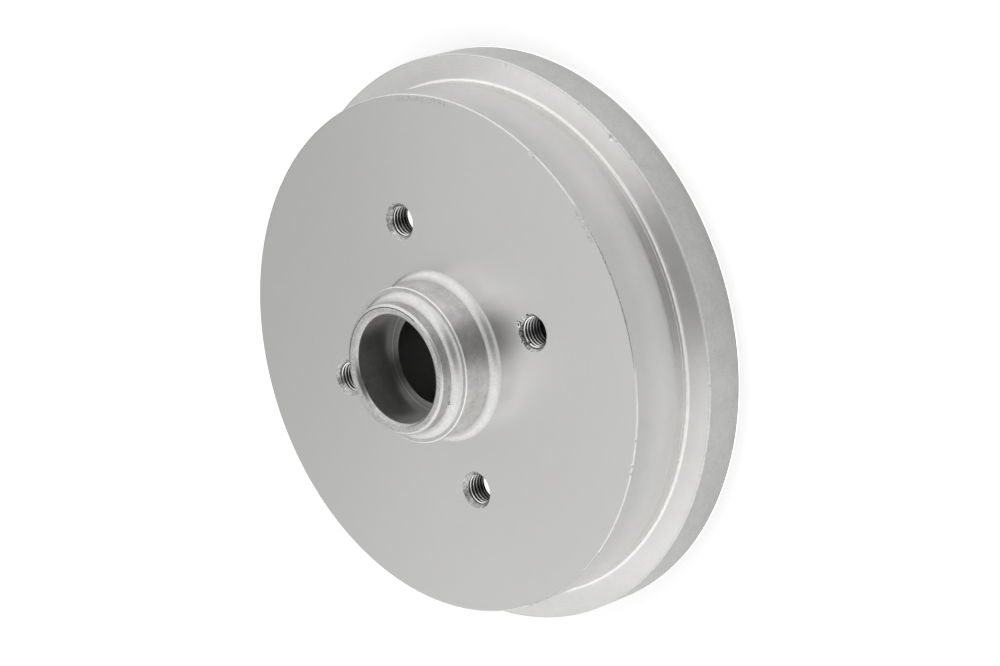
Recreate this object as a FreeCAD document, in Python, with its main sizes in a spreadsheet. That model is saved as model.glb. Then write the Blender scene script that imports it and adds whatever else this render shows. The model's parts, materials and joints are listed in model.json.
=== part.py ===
import FreeCAD, Part
import os
import Sketcher

# Brake drum with its wheel hub, cast and machined as one piece.
# The drum stands on its open rim: that rim lies at height 0, the axle runs along Z through the
# origin and the hub's nose points up. The first bolt hole lies on +X.

doc = FreeCAD.newDocument("BrakeDrum")

# Driving dimensions, in millimetres
SIZES = {
    # drum shell, from the friction surface outwards
    "friction_radius": 90.0,
    "wall_thickness": 5.0,
    "flange_projection": 10.0,
    "flange_width": 16.0,
    "drum_depth": 42.1,
    "disc_thickness": 10.0,
    # stepped bore, from the nose down
    "outer_seat_radius": 19.92,
    "outer_seat_depth": 18.5,
    "shoulder_width": 2.92,
    "land_length": 17.4,
    "inner_seat_radius": 22.6,
    "inner_seat_length": 12.5,
    "seal_seat_step": 2.4,
    "bore_mouth_bevel": 1.1,
    "seal_mouth_bevel": 1.0,
    "friction_mouth_bevel": 1.5,
    # hub in front of the disc, from the outer seat outwards
    "nose_wall": 3.98,
    "nose_length": 7.3,
    "nose_bevel_width": 1.0,
    "nose_bevel_height": 0.5,
    "ledge_width": 4.6,
    "hub_length": 14.5,
    # bearing boss inside the drum, from the seal seat outwards
    "boss_wall": 7.0,
    "boss_clearance": 8.0,
    # wheel bolt holes
    "bolt_circle_radius": 50.0,
    "bolt_hole_radius": 6.0,
    "bolt_mouth_bevel": 0.9,
    "bolt_mouth_angle": 90.0,
    "bolt_count": 4,
    # inner corners
    "hub_fillet": 3.0,
    "nose_fillet": 3.0,
    "wall_fillet": 1.3,
    "boss_fillet": 4.0,
    "cavity_fillet": 2.5,
    # broken outer edges
    "face_edge_round": 0.5,
    "hub_edge_round": 0.7,
    "flange_edge_round": 0.9,
    "rim_edge_round": 0.8,
    "boss_edge_round": 1.0,
}

sheet = doc.addObject("Spreadsheet::Sheet", "Sizes")
for row, (alias, number) in enumerate(SIZES.items(), start=1):
    sheet.set(f"A{row}", alias)
    sheet.set(f"B{row}", str(number))
    sheet.setAlias(f"B{row}", alias)
doc.recompute()

# Radii that follow from the driving sizes
WALL_RADIUS = "Sizes.friction_radius + Sizes.wall_thickness"
FLANGE_RADIUS = f"{WALL_RADIUS} + Sizes.flange_projection"
LAND_RADIUS = "Sizes.outer_seat_radius - Sizes.shoulder_width"
SEAL_SEAT_RADIUS = "Sizes.inner_seat_radius + Sizes.seal_seat_step"
BOSS_RADIUS = f"{SEAL_SEAT_RADIUS} + Sizes.boss_wall"
NOSE_RADIUS = "Sizes.outer_seat_radius + Sizes.nose_wall"
HUB_RADIUS = f"{NOSE_RADIUS} + Sizes.ledge_width"

# Heights above the open rim
FACE_HEIGHT = "Sizes.drum_depth"
DISC_UNDERSIDE = "Sizes.drum_depth - Sizes.disc_thickness"
LEDGE_HEIGHT = f"{FACE_HEIGHT} + Sizes.hub_length"
NOSE_HEIGHT = f"{LEDGE_HEIGHT} + Sizes.nose_length"
OUTER_SHOULDER = f"{NOSE_HEIGHT} - Sizes.outer_seat_depth"
INNER_SHOULDER = f"{OUTER_SHOULDER} - Sizes.land_length"
SEAL_SHOULDER = f"{INNER_SHOULDER} - Sizes.inner_seat_length"
BOSS_END = "Sizes.boss_clearance"


def value(expression):
    """The number that an expression of sheet sizes gives now."""
    return float(sheet.evalExpression(expression))


def origin_item(body, role):
    """A plane or axis of the body's own origin."""
    return next(item for item in body.Origin.OriginFeatures if item.Role == role)


def sketch_on(body, name, role):
    """A new sketch on one of the body's origin planes."""
    sketch = body.newObject("Sketcher::SketchObject", name)
    sketch.AttachmentSupport = [(origin_item(body, role), "")]
    sketch.MapMode = "FlatFace"
    return sketch


def bind_corner(sketch, line, axis, expression):
    """Hold the start of a line at a radius or a height; "0" puts it on the other axis."""
    if expression == "0":
        zero_line = {"DistanceX": -2, "DistanceY": -1}[axis]
        sketch.addConstraint(Sketcher.Constraint("PointOnObject", line, 1, zero_line))
        return
    number = value(expression)
    row = sketch.addConstraint(Sketcher.Constraint(axis, -1, 1, line, 1, number))
    sketch.setExpression(f"Constraints[{row}]", expression)


def section_sketch(body, name, corners):
    """A closed outline of straight lines through (radius, height) corners in the XZ plane."""
    sketch = sketch_on(body, name, "XZ_Plane")
    points = [FreeCAD.Vector(value(radius), value(height), 0) for radius, height in corners]
    count = len(points)
    for i in range(count):
        sketch.addGeometry(Part.LineSegment(points[i], points[(i + 1) % count]), False)
    for i in range(count):
        sketch.addConstraint(Sketcher.Constraint("Coincident", i, 2, (i + 1) % count, 1))
    for i, (radius, height) in enumerate(corners):
        bind_corner(sketch, i, "DistanceX", radius)
        bind_corner(sketch, i, "DistanceY", height)
    return sketch


def turned(body, kind, name, sketch):
    """A full turn of a section about the axle, added (Revolution) or cut (Groove)."""
    feature = body.newObject(f"PartDesign::{kind}", name)
    feature.Profile = sketch
    feature.ReferenceAxis = (origin_item(body, "Z_Axis"), [""])
    feature.Angle = 360.0
    doc.recompute()
    return feature


def circle_edge(shape, radius, height):
    """The name of the full circle about the axle with this radius and height."""
    for number, edge in enumerate(shape.Edges, start=1):
        curve = edge.Curve
        if not isinstance(curve, Part.Circle):
            continue
        centre = curve.Center
        on_axis = abs(centre.x) < 1e-4 and abs(centre.y) < 1e-4
        if on_axis and abs(curve.Radius - radius) < 1e-3 and abs(centre.z - height) < 1e-3:
            return f"Edge{number}"
    raise ValueError(f"no circle of radius {radius} at height {height}")


def round_edge(body, name, base, size, radius, height):
    """A rounding of one circular edge or corner, its size bound to the sheet."""
    feature = body.newObject("PartDesign::Fillet", name)
    feature.Base = (base, [circle_edge(base.Shape, value(radius), value(height))])
    feature.setExpression("Radius", f"Sizes.{size}")
    doc.recompute()
    return feature


def turned_blank(body):
    """The outside of the drum and hub as one solid without its hollows."""
    corners = [
        ("0", "0"),
        (FLANGE_RADIUS, "0"),
        (FLANGE_RADIUS, "Sizes.flange_width"),
        (WALL_RADIUS, "Sizes.flange_width"),
        (WALL_RADIUS, FACE_HEIGHT),
        (HUB_RADIUS, FACE_HEIGHT),
        (HUB_RADIUS, LEDGE_HEIGHT),
        (NOSE_RADIUS, LEDGE_HEIGHT),
        (NOSE_RADIUS, f"{NOSE_HEIGHT} - Sizes.nose_bevel_height"),
        (f"{NOSE_RADIUS} - Sizes.nose_bevel_width", NOSE_HEIGHT),
        ("0", NOSE_HEIGHT),
    ]
    return turned(body, "Revolution", "Blank", section_sketch(body, "BlankSection", corners))


def drum_cavity(body):
    """The space for the brake shoes, between the friction surface and the bearing boss."""
    corners = [
        ("0", "0"),
        ("Sizes.friction_radius + Sizes.friction_mouth_bevel", "0"),
        ("Sizes.friction_radius", "Sizes.friction_mouth_bevel"),
        ("Sizes.friction_radius", DISC_UNDERSIDE),
        (BOSS_RADIUS, DISC_UNDERSIDE),
        (BOSS_RADIUS, BOSS_END),
        ("0", BOSS_END),
    ]
    return turned(body, "Groove", "Cavity", section_sketch(body, "CavitySection", corners))


def bearing_bore(body):
    """The stepped bore: outer seat, land between the shoulders, inner seat and seal seat."""
    corners = [
        ("0", BOSS_END),
        (f"{SEAL_SEAT_RADIUS} + Sizes.seal_mouth_bevel", BOSS_END),
        (SEAL_SEAT_RADIUS, f"{BOSS_END} + Sizes.seal_mouth_bevel"),
        (SEAL_SEAT_RADIUS, SEAL_SHOULDER),
        ("Sizes.inner_seat_radius", SEAL_SHOULDER),
        ("Sizes.inner_seat_radius", INNER_SHOULDER),
        (LAND_RADIUS, INNER_SHOULDER),
        (LAND_RADIUS, OUTER_SHOULDER),
        ("Sizes.outer_seat_radius", OUTER_SHOULDER),
        ("Sizes.outer_seat_radius", f"{NOSE_HEIGHT} - Sizes.bore_mouth_bevel"),
        ("Sizes.outer_seat_radius + Sizes.bore_mouth_bevel", NOSE_HEIGHT),
        ("0", NOSE_HEIGHT),
    ]
    return turned(body, "Groove", "Bore", section_sketch(body, "BoreSection", corners))


def bolt_holes(body, base):
    """Threaded wheel bolt holes through the disc, each with a countersunk mouth."""
    sketch = sketch_on(body, "BoltHoleCentre", "XY_Plane")
    sketch.setExpression("AttachmentOffset.Base.z", FACE_HEIGHT)
    centre = FreeCAD.Vector(value("Sizes.bolt_circle_radius"), 0, 0)
    upwards = FreeCAD.Vector(0, 0, 1)
    outline = Part.Circle(centre, upwards, value("Sizes.bolt_hole_radius"))
    circle = sketch.addGeometry(outline, False)
    sketch.addConstraint(Sketcher.Constraint("PointOnObject", circle, 3, -1))
    place = sketch.addConstraint(Sketcher.Constraint("DistanceX", -1, 1, circle, 3, centre.x))
    sketch.setExpression(f"Constraints[{place}]", "Sizes.bolt_circle_radius")
    width = sketch.addConstraint(Sketcher.Constraint("Radius", circle, value("Sizes.bolt_hole_radius")))
    sketch.setExpression(f"Constraints[{width}]", "Sizes.bolt_hole_radius")
    doc.recompute()

    hole = body.newObject("PartDesign::Hole", "BoltHole")
    hole.Profile = sketch
    doc.recompute()
    hole.Threaded = False
    hole.DepthType = "ThroughAll"
    hole.setExpression("Diameter", "2 * Sizes.bolt_hole_radius")
    hole.HoleCutType = "Countersink"
    hole.HoleCutCustomValues = True
    hole.setExpression("HoleCutDiameter", "2 * (Sizes.bolt_hole_radius + Sizes.bolt_mouth_bevel)")
    hole.setExpression("HoleCutCountersinkAngle", "Sizes.bolt_mouth_angle")
    doc.recompute()

    pattern = body.newObject("PartDesign::PolarPattern", "BoltHoles")
    pattern.Originals = [hole]
    pattern.Axis = (origin_item(body, "Z_Axis"), [""])
    pattern.Angle = 360.0
    pattern.setExpression("Occurrences", "Sizes.bolt_count")
    body.Tip = pattern
    doc.recompute()
    if pattern.Shape.Volume >= base.Shape.Volume:
        raise ValueError("the bolt holes cut nothing")
    return pattern


def rounded_corners(body, base):
    """Every inner corner and outer edge that the lathe tool leaves round."""
    corners = [
        ("HubFillet", "hub_fillet", HUB_RADIUS, FACE_HEIGHT),
        ("NoseFillet", "nose_fillet", NOSE_RADIUS, LEDGE_HEIGHT),
        ("WallFillet", "wall_fillet", WALL_RADIUS, "Sizes.flange_width"),
        ("BossFillet", "boss_fillet", BOSS_RADIUS, DISC_UNDERSIDE),
        ("CavityFillet", "cavity_fillet", "Sizes.friction_radius", DISC_UNDERSIDE),
        ("FaceEdge", "face_edge_round", WALL_RADIUS, FACE_HEIGHT),
        ("HubEdge", "hub_edge_round", HUB_RADIUS, LEDGE_HEIGHT),
        ("FlangeEdge", "flange_edge_round", FLANGE_RADIUS, "Sizes.flange_width"),
        ("RimEdge", "rim_edge_round", FLANGE_RADIUS, "0"),
        ("BossEdge", "boss_edge_round", BOSS_RADIUS, BOSS_END),
    ]
    feature = base
    for name, size, radius, height in corners:
        feature = round_edge(body, name, feature, size, radius, height)
    return feature


def brake_drum():
    """The whole drum as one body."""
    body = doc.addObject("PartDesign::Body", "BrakeDrumBody")
    body.Label = "brake_drum"
    blank = turned_blank(body)
    cavity = drum_cavity(body)
    bore = bearing_bore(body)
    if not blank.Shape.Volume > cavity.Shape.Volume > bore.Shape.Volume:
        raise ValueError("the cavity or the bore cuts nothing")
    rounded = rounded_corners(body, bore)
    bolt_holes(body, rounded)
    return body


sub_parts = [brake_drum()]
doc.recompute()

for item in doc.Objects:
    if "Invalid" in item.State or "Error" in item.State:
        raise ValueError(f"{item.Name} failed: {item.State}")
for part in sub_parts:
    if part.Shape.isNull() or not part.Shape.isValid():
        raise ValueError(f"{part.Label} has no valid shape")

os.makedirs("parts", exist_ok=True)
for part in sub_parts:
    part.Shape.exportStep(f"parts/{part.Label}.step")
    print(part.Label, "volume", round(part.Shape.Volume), "solids", len(part.Shape.Solids))
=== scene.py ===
import json
import math

import bpy
from mathutils import Matrix, Vector, noise
from mathutils.geometry import delaunay_2d_cdt


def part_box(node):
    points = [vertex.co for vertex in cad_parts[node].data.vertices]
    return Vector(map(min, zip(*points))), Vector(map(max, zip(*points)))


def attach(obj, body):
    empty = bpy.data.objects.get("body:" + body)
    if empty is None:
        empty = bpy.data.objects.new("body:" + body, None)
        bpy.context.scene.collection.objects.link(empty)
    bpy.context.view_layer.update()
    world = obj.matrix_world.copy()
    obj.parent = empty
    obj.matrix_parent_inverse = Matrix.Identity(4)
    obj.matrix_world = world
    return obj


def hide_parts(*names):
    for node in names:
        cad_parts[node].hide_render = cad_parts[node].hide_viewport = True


# Brake drum with its wheel hub, in turned cast iron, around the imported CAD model.
# The drum stands on its open rim, the axle runs along Z and the hub's nose points up.
# Sizes are in millimetres until a mesh is made; angles are in degrees, from +X towards +Y.

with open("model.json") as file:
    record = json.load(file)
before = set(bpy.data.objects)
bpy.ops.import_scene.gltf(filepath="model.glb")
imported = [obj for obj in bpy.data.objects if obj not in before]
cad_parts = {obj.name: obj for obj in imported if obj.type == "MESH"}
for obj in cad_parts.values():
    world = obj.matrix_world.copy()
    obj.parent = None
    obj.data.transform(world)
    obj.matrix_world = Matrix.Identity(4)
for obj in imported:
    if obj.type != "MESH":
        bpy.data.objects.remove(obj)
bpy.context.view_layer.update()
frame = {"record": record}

MM = 0.001
MOUNTS = {mount["name"]: mount for mount in frame["record"]["mounts"]}
_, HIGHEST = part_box("brake_drum")

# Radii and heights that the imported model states
FLANGE_RADIUS = HIGHEST.x / MM
NOSE_HEIGHT = HIGHEST.z / MM
OUTER_SEAT_RADIUS = MOUNTS["outer_bearing_seat"]["dims"]["r_mm"]
INNER_SEAT_RADIUS = MOUNTS["inner_bearing_seat"]["dims"]["r_mm"]
SEAL_SEAT_RADIUS = MOUNTS["seal_seat"]["dims"]["r_mm"]
HUB_RADIUS = MOUNTS["hub_centring"]["dims"]["r_mm"]
BOLT_CIRCLE_RADIUS = MOUNTS["wheel_bolts"]["dims"]["pcd_mm"] / 2
BOLT_HOLE_RADIUS = MOUNTS["wheel_bolts"]["dims"]["hole_r_mm"]
BOLT_COUNT = MOUNTS["wheel_bolts"]["dims"]["count"]

# The rest of the section, as the source has it
FACE_HEIGHT = 42.1
DISC_THICKNESS = 10.0
DISC_UNDERSIDE = FACE_HEIGHT - DISC_THICKNESS
FLANGE_HEIGHT = 16.0
WALL_RADIUS = FLANGE_RADIUS - 10.0
FRICTION_RADIUS = WALL_RADIUS - 5.0
NOSE_RADIUS = HUB_RADIUS - 4.6
LEDGE_HEIGHT = NOSE_HEIGHT - 7.3
LAND_RADIUS = 17.0
OUTER_SHOULDER = NOSE_HEIGHT - 18.5
INNER_SHOULDER = OUTER_SHOULDER - 17.4
SEAL_SHOULDER = INNER_SHOULDER - 12.5
BOSS_RADIUS = SEAL_SEAT_RADIUS + 7.0
BOSS_END = 8.0
BOLT_MOUTH_RADIUS = BOLT_HOLE_RADIUS + 0.9
NOSE_BEVEL = (1.0, 0.5)
SEAL_BEVEL = 1.0
FRICTION_BEVEL = 1.5
HUB_FILLET = 3.0
NOSE_FILLET = 3.0
WALL_FILLET = 1.3
BOSS_FILLET = 4.0
CAVITY_FILLET = 2.5
RIM_ROUND = 0.8
BOSS_ROUND = 1.0

# Roundings that the photograph shows a little larger or smaller than the source has them
FACE_ROUND = 0.57
HUB_ROUND = 0.42
FLANGE_ROUND = 0.65

# The bore's mouth: width and depth of its rounding, and how steeply the normals rise on it,
# from the bore to the nose's face
BORE_MOUTH = (1.1, 1.5)
MOUTH_RISES = (34.0, 66.0)

# The angle at which the fillets of hub and nose meet their neighbours
FILLET_CUT = 17.0

# Normals across the nose's bevel, whose borders are rounded over
ROUNDED_OVER = [(0.5, 0.866), (0.707, 0.707), (0.866, 0.5)]

# Thin painted lines: a dark one on the nose's face beside the bevel, which is painted shade, and a bright
# one on the bore's shoulder, which is a painted highlight
SHADE_LINE_WIDTH = 0.32
SHADE_LINE_STRETCHES = ((0.0, 80.0), (310.0, 360.0))
SHOULDER_HIGHLIGHT_WIDTH = 0.3

# Where a bright line is painted on the fillet at the wall's foot, as a painted highlight: first and last
# angle, lowest and highest point
FOOT_HIGHLIGHT_LINES = ((0.0, 240.0, 16.25, 16.5), (240.0, 360.0, 16.25, 16.75))

# Heights between which a bright band is painted on the wall just above its fillet, as a painted highlight
WALL_HIGHLIGHT_BAND = (17.8, 18.05)

# Where the wall's cut runs out: heights of the rows, and by how many degrees the shine tilts up
WALL_ROWS = (
    (41.3, 0), (40.9, 0), (40.4, 0), (39.6, 0), (38, 0), (34, 0), (31, 0.5), (28, 2), (26, 3.5),
    (24.5, 5.5), (23, 6.5), (22, 5), (21.3, 1.5),
)

# A row between there and the step
LOW_WALL_MIDDLE = 20.0

# Rows of the flat borders, by how far inside their edge they lie; a row on the flange's middle,
# by its radius; and the rows of the rim, by height
FACE_BORDER = (2.0, 1.5, 1.1, 0.8, 0.5, 0.25, 0)
FLANGE_BORDER = (2.6, 1.9, 1.4, 1.0, 0.7, 0.45, 0.2, 0)
FLANGE_MIDDLE = 99.5
RIM_HEIGHTS = (14.7, 14.2, 13.0, 9.0, 4.5)

# Rows across a fillet of the hub and across the bore's mouth, and the height of a row in the bore
FILLET_ROWS = 16
MOUTH_ROWS = 12
BORE_ROW = 3.0

# Columns round the axle, and how many degrees lie between them at nicks, at rough edges, at
# cracks and at the least
OUTER_COLUMNS = 360
HUB_COLUMNS = 300
INNER_COLUMNS = 240
NICK_SPACING = 0.09
ROUGH_SPACING = 0.25
CRACK_SPACING = 0.4
LEAST_SPACING = 0.05

# The cracked stretch at the foot of the nose
CRACKED_ANGLE = 227.5
CRACKED_REACH = 3.2

# Dark cracks there: first and last angle, lowest and highest point
CRACKS = ((227.6, 229.4, 59.1, 59.6), (226.2, 230.4, 59.3, 59.6), (225.8, 226.4, 58.6, 59.3))

# Stretches of the front face's border that are pitted, and those of its edge that are painted darker as
# painted shade: some with pits as well, and beside them some with the wall's finish
PITTED_BORDERS = ((285.0, 292.0), (335.0, 349.5))
SHADED_EDGES = ((186.0, 207.0), (265.0, 283.0))
SHADED_EDGE_BORDERS = ((207.0, 212.0), (258.0, 265.0), (283.0, 293.0))

# Dents and nicks: angle, radius, height, reach and depth
NICKS = [
    # flange's front edge
    (333.2, 103.6, 16.0, 0.9, 0.35),
    (313.1, 104.5, 16.0, 0.9, 0.45),
    (303.4, 104.1, 16.0, 1.3, 0.50),
    (301.9, 104.8, 15.6, 0.9, 0.45),
    (297.3, 104.9, 15.8, 0.8, 0.45),
    (251.7, 104.9, 15.6, 1.0, 0.40),
    (237.6, 104.9, 15.6, 0.9, 0.40),
    # front face's edge
    (308.8, 94.8, 41.9, 1.8, 0.30),
    (290.6, 94.8, 42.0, 0.9, 0.50),
    (242.4, 94.9, 41.8, 0.8, 0.30),
    (234.8, 94.8, 41.9, 0.9, 0.45),
    (236.6, 94.7, 42.0, 0.7, 0.35),
    # foot of the nose
    (CRACKED_ANGLE, 24.2, 58.9, 1.2, 0.30),
]

# How ragged a nick is: the usual share of its depth, how far that sways, and how finely
NICK_SHARE = 0.65
NICK_SWAY = 0.7
NICK_GRAIN = 2.3

# Stretches of the front face's edge that are rough, the angle over which they fade out at their
# ends, how far they reach from the edge, and how fine and how deep their pits are
ROUGH_EDGES = ((281.0, 289.0), (330.0, 349.0))
ROUGH_FADE = 2.0
ROUGH_REACH = 1.4
ROUGH_GRAIN = 1.7
ROUGH_DEPTH = 0.28

# A point that moves less than this keeps the turned shape's normal
LEAST_MOVE = 1e-4


def polar(radius, angle, height=0.0):
    """The point at a radius and an angle round Z, and at a height."""
    turn = math.radians(angle)
    return Vector((radius * math.cos(turn), radius * math.sin(turn), height))


def line(start, end, rows):
    """Points and outward normals from start to end of a section; the metal lies on the right."""
    length = math.dist(start, end)
    normal = (-(end[1] - start[1]) / length, (end[0] - start[0]) / length)
    shares = [i / rows for i in range(rows + 1)]
    points = [tuple(a + (b - a) * share for a, b in zip(start, end)) for share in shares]
    return points, [normal] * len(points)


def stepped_line(stops):
    """A straight line through radius and height stops that are given one by one."""
    _, normals = line(stops[0], stops[-1], 1)
    return stops, [normals[0]] * len(stops)


def arc(centre, radius, first, last, rows):
    """Points and outward normals of a rounding; a falling angle is an edge, a rising one a corner."""
    side = 1 if last < first else -1
    turns = [math.radians(first + (last - first) * i / rows) for i in range(rows + 1)]
    points = [(centre[0] + radius * math.cos(t), centre[1] + radius * math.sin(t)) for t in turns]
    return points, [(side * math.cos(t), side * math.sin(t)) for t in turns]


def hollow(start, size, cut):
    """A fillet from start outwards and down, whose arc meets both sides at an angle of cut."""
    radius = size * math.sqrt(0.5) / math.sin(math.radians(45 - cut))
    turn = math.radians(cut)
    centre = (start[0] + radius * math.cos(turn), start[1] + radius * math.sin(turn))
    return arc(centre, radius, 180 + cut, 270 - cut, FILLET_ROWS)


def rounded_mouth(radius, height, size, first_rise, last_rise):
    """An oval rounding out of a bore, whose normals rise from one angle to another."""
    width, depth = size
    points, normals = [], []
    for i in range(MOUTH_ROWS + 1):
        turn = math.radians(90 * i / MOUTH_ROWS)
        rise = math.radians(first_rise + (last_rise - first_rise) * i / MOUTH_ROWS)
        across, down = width * (1 - math.cos(turn)), depth * (1 - math.sin(turn))
        points.append((radius + across, height - down))
        normals.append((-math.cos(rise), math.sin(rise)))
    return points, normals


def tilted_wall():
    """The wall below the front face's edge, whose shine tilts up where the cut runs out."""
    rows = [(FACE_HEIGHT - FACE_ROUND, 0), *WALL_ROWS]
    tilts = [math.radians(tilt) for _, tilt in rows]
    points = [(WALL_RADIUS, height) for height, _ in rows]
    return points, [(math.cos(tilt), math.sin(tilt)) for tilt in tilts]


def around(angle, reach, spacing):
    """Angles from angle - reach to angle + reach."""
    count = max(1, round(2 * reach / spacing))
    return [angle - reach + 2 * reach * i / count for i in range(count + 1)]


def columns(count, extra=()):
    """Angles round the axle: count even ones, and extra ones where small damage needs them."""
    step = 360 / count
    angles = sorted([step * i for i in range(count)] + [angle % 360 for angle in extra])
    kept = [angles[0]]
    for angle in angles[1:]:
        if angle - kept[-1] > LEAST_SPACING:
            kept.append(angle)
    return kept


def outer_columns():
    """Angles of the drum's outside, closer together at the nicks and rough stretches."""
    extra = []
    for angle, radius, _, reach, _ in NICKS:
        if radius > HUB_RADIUS:
            extra += around(angle, math.degrees(reach / radius), NICK_SPACING)
    for first, last in ROUGH_EDGES:
        extra += around((first + last) / 2, (last - first) / 2, ROUGH_SPACING)
    return columns(OUTER_COLUMNS, extra)


def damage(point):
    """How far the metal is knocked in at a point, and the way it moves."""
    radius = math.hypot(point.x, point.y)
    outward = Vector((point.x, point.y, 0)) / radius
    off_metal = (outward + Vector((0, 0, 1))).normalized()
    move = Vector()
    for angle, nick_radius, height, reach, depth in NICKS:
        distance = (point - polar(nick_radius, angle, height)).length / reach
        if distance < 1:
            ragged = NICK_SHARE + NICK_SWAY * noise.noise(point * NICK_GRAIN)
            move -= off_metal * depth * ragged * (1 - distance**2)
    angle = math.degrees(math.atan2(point.y, point.x)) % 360
    off_edge = math.hypot(radius - WALL_RADIUS, point.z - FACE_HEIGHT)
    for first, last in ROUGH_EDGES:
        if first < angle < last and off_edge < ROUGH_REACH:
            fade = min(1, (angle - first) / ROUGH_FADE, (last - angle) / ROUGH_FADE)
            fade *= 1 - off_edge / ROUGH_REACH
            pits = max(0, noise.noise(point * ROUGH_GRAIN))
            move -= off_metal * ROUGH_DEPTH * fade * pits
    return move


def marked(finish, stretches):
    """Patches of a finish over some stretches, as first and last angle, at any height."""
    return [(finish, *stretch, 0, NOSE_HEIGHT) for stretch in stretches]


def finish_at(angle, height, finish, marks):
    """The finish of a place: that of the last patch it lies in, or else the given one."""
    for mark, first, last, lowest, highest in marks:
        if first <= angle <= last and lowest <= height <= highest:
            finish = mark
    return finish


def is_inside(place, outline):
    """Whether a flat place lies within a closed outline."""
    inside = False
    for a, b in zip(outline, outline[1:] + outline[:1]):
        if (a.y > place.y) != (b.y > place.y):
            crossing = a.x + (b.x - a.x) * (place.y - a.y) / (b.y - a.y)
            inside = inside != (place.x < crossing)
    return inside


# How Blender's flat triangulation is asked to work: it keeps the triangles within the outlines,
# and takes points for one when they are this close
KEEP_INSIDE = 1
SAME_PLACE = 1e-6


class Shell:
    """The drum's surface as it is put together, ring by ring."""

    def __init__(self):
        self.points = []
        self.moved = set()
        self.faces = []
        self.normals = []
        self.finishes = []

    def add_point(self, point):
        """A vertex, with the damage at its place."""
        move = damage(point)
        if move.length > LEAST_MOVE:
            self.moved.add(len(self.points))
        self.points.append(point + move)
        return len(self.points) - 1

    def add_face(self, corners, normals, finish):
        """A face, without the corners that fall together."""
        kept = [i for i, corner in enumerate(corners) if corner != corners[i - 1]]
        if len(kept) < 3:
            return
        self.faces.append([corners[i] for i in kept])
        self.normals.append([normals[i] for i in kept])
        self.finishes.append(finish)

    def ring(self, radius, height, angles):
        """Vertices round the axle at one radius and height."""
        return [self.add_point(polar(radius, angle, height)) for angle in angles]

    def sweep(self, stroke, angles, finish, marks, start):
        """A stroke of the section, turned round the axle. Returns its first and last ring."""
        points, section_normals = stroke
        turns = [math.radians(angle) for angle in angles]
        first = above = start or self.ring(*points[0], angles)
        for row in range(1, len(points)):
            below = self.ring(*points[row], angles)
            middle = (points[row - 1][1] + points[row][1]) / 2
            for i, angle in enumerate(angles):
                j = (i + 1) % len(angles)
                normals = []
                for section_row, column in ((row - 1, i), (row, i), (row, j), (row - 1, j)):
                    out, up = section_normals[section_row]
                    turn = turns[column]
                    normals.append((out * math.cos(turn), out * math.sin(turn), up))
                corners = (above[i], below[i], below[j], above[j])
                self.add_face(corners, normals, finish_at(angle, middle, finish, marks))
            above = below
        return first, above

    def turn(self, angles, strokes):
        """Strokes that follow each other, turned round the axle. Returns the first and last ring.

        A stroke is followed by its finish and by patches of other finishes, if it has any:
        finish, first and last angle, lowest and highest point.
        """
        first = last = None
        for stroke, finish, *marks in strokes:
            start, last = self.sweep(stroke, angles, finish, marks, last)
            first = first or start
        return first, last

    def plane(self, outer, inner, holes, up, finish):
        """A flat ring between two circles, with round holes in it."""
        loops = [outer, inner, *holes]
        corners = [corner for loop in loops for corner in loop]
        edges = []
        for loop in loops:
            offset = len(edges)
            edges += [(offset + i, offset + (i + 1) % len(loop)) for i in range(len(loop))]
        flat = [self.points[corner].to_2d() for corner in corners]
        places, _, triangles, origins, _, _ = delaunay_2d_cdt(flat, edges, [], KEEP_INSIDE, SAME_PLACE)
        voids = [[self.points[corner].to_2d() for corner in loop] for loop in loops[1:]]
        for triangle in triangles:
            middle = sum((places[i] for i in triangle), Vector((0, 0))) / 3
            if any(is_inside(middle, void) for void in voids):
                continue
            a, b, c = (places[i] for i in triangle)
            if (b - a).cross(c - a) * up < 0:
                triangle = triangle[::-1]
            self.add_face([corners[origins[i][0]] for i in triangle], [(0, 0, up)] * 3, finish)

    def build(self, name, materials):
        """The Blender object, with the turned shape's own normals except where it is damaged."""
        mesh = bpy.data.meshes.new(name)
        mesh.from_pydata([point * MM for point in self.points], [], self.faces)
        slots = {finish: slot for slot, finish in enumerate(materials)}
        for material in materials.values():
            mesh.materials.append(material)
        mesh.polygons.foreach_set("material_index", [slots[finish] for finish in self.finishes])
        mesh.polygons.foreach_set("use_smooth", [True] * len(self.faces))
        mesh.update()
        corner_normals = []
        for polygon, corners, normals in zip(mesh.polygons, self.faces, self.normals):
            flat = tuple(polygon.normal)
            corner_normals += [
                flat if normal is None or corner in self.moved else normal
                for corner, normal in zip(corners, normals)
            ]
        mesh.normals_split_custom_set(corner_normals)
        mesh.validate()
        piece = bpy.data.objects.new(name, mesh)
        bpy.context.scene.collection.objects.link(piece)
        return piece


# M12 x 1.5 thread of the wheel bolts, cut through the disc; its flats are shares of the pitch
THREAD_PITCH = 1.5
THREAD_CREST_RADIUS = 5.19
ROOT_FLAT = 1 / 8
CREST_FLAT = 1 / 4

# Depth of a crest on each hole's wall at FAR_WALL_ANGLE, by the hole's angle round the axle
CREST_DEPTHS = {0: 2.85, 90: 3.2, 180: 2.7, 270: 3.4}
FAR_WALL_ANGLE = 93.0

# How far from the middle of its root the thread is dark, as a share of the pitch
DARK_ROOT = 0.25

# Columns round a bolt hole, rows to a pitch, and how close to the disc's faces a row joins the rim
HOLE_COLUMNS = 96
ROWS_PER_PITCH = 8
NEAR_FACE = 0.02

# How far the countersinks run out of round: depth of the waves, and how fine they are
MOUTH_DEPTH = BOLT_MOUTH_RADIUS - THREAD_CREST_RADIUS
MOUTH_WAVES = ((0.16, 0.45), (0.08, 1.7))

# One hole has a torn mouth: middle and reach of its torn stretches, the first of which is the dark
# one nearest the nose, and how deep and how fine the tears are, round the hole and down
TORN_HOLE = 270
TORN_STRETCHES = ((100, 45), (4, 14), (40, 12))
TORN_DEPTH = 0.6
TORN_GRAIN = 1.5
TORN_GRAIN_DOWN = 2.5
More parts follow.
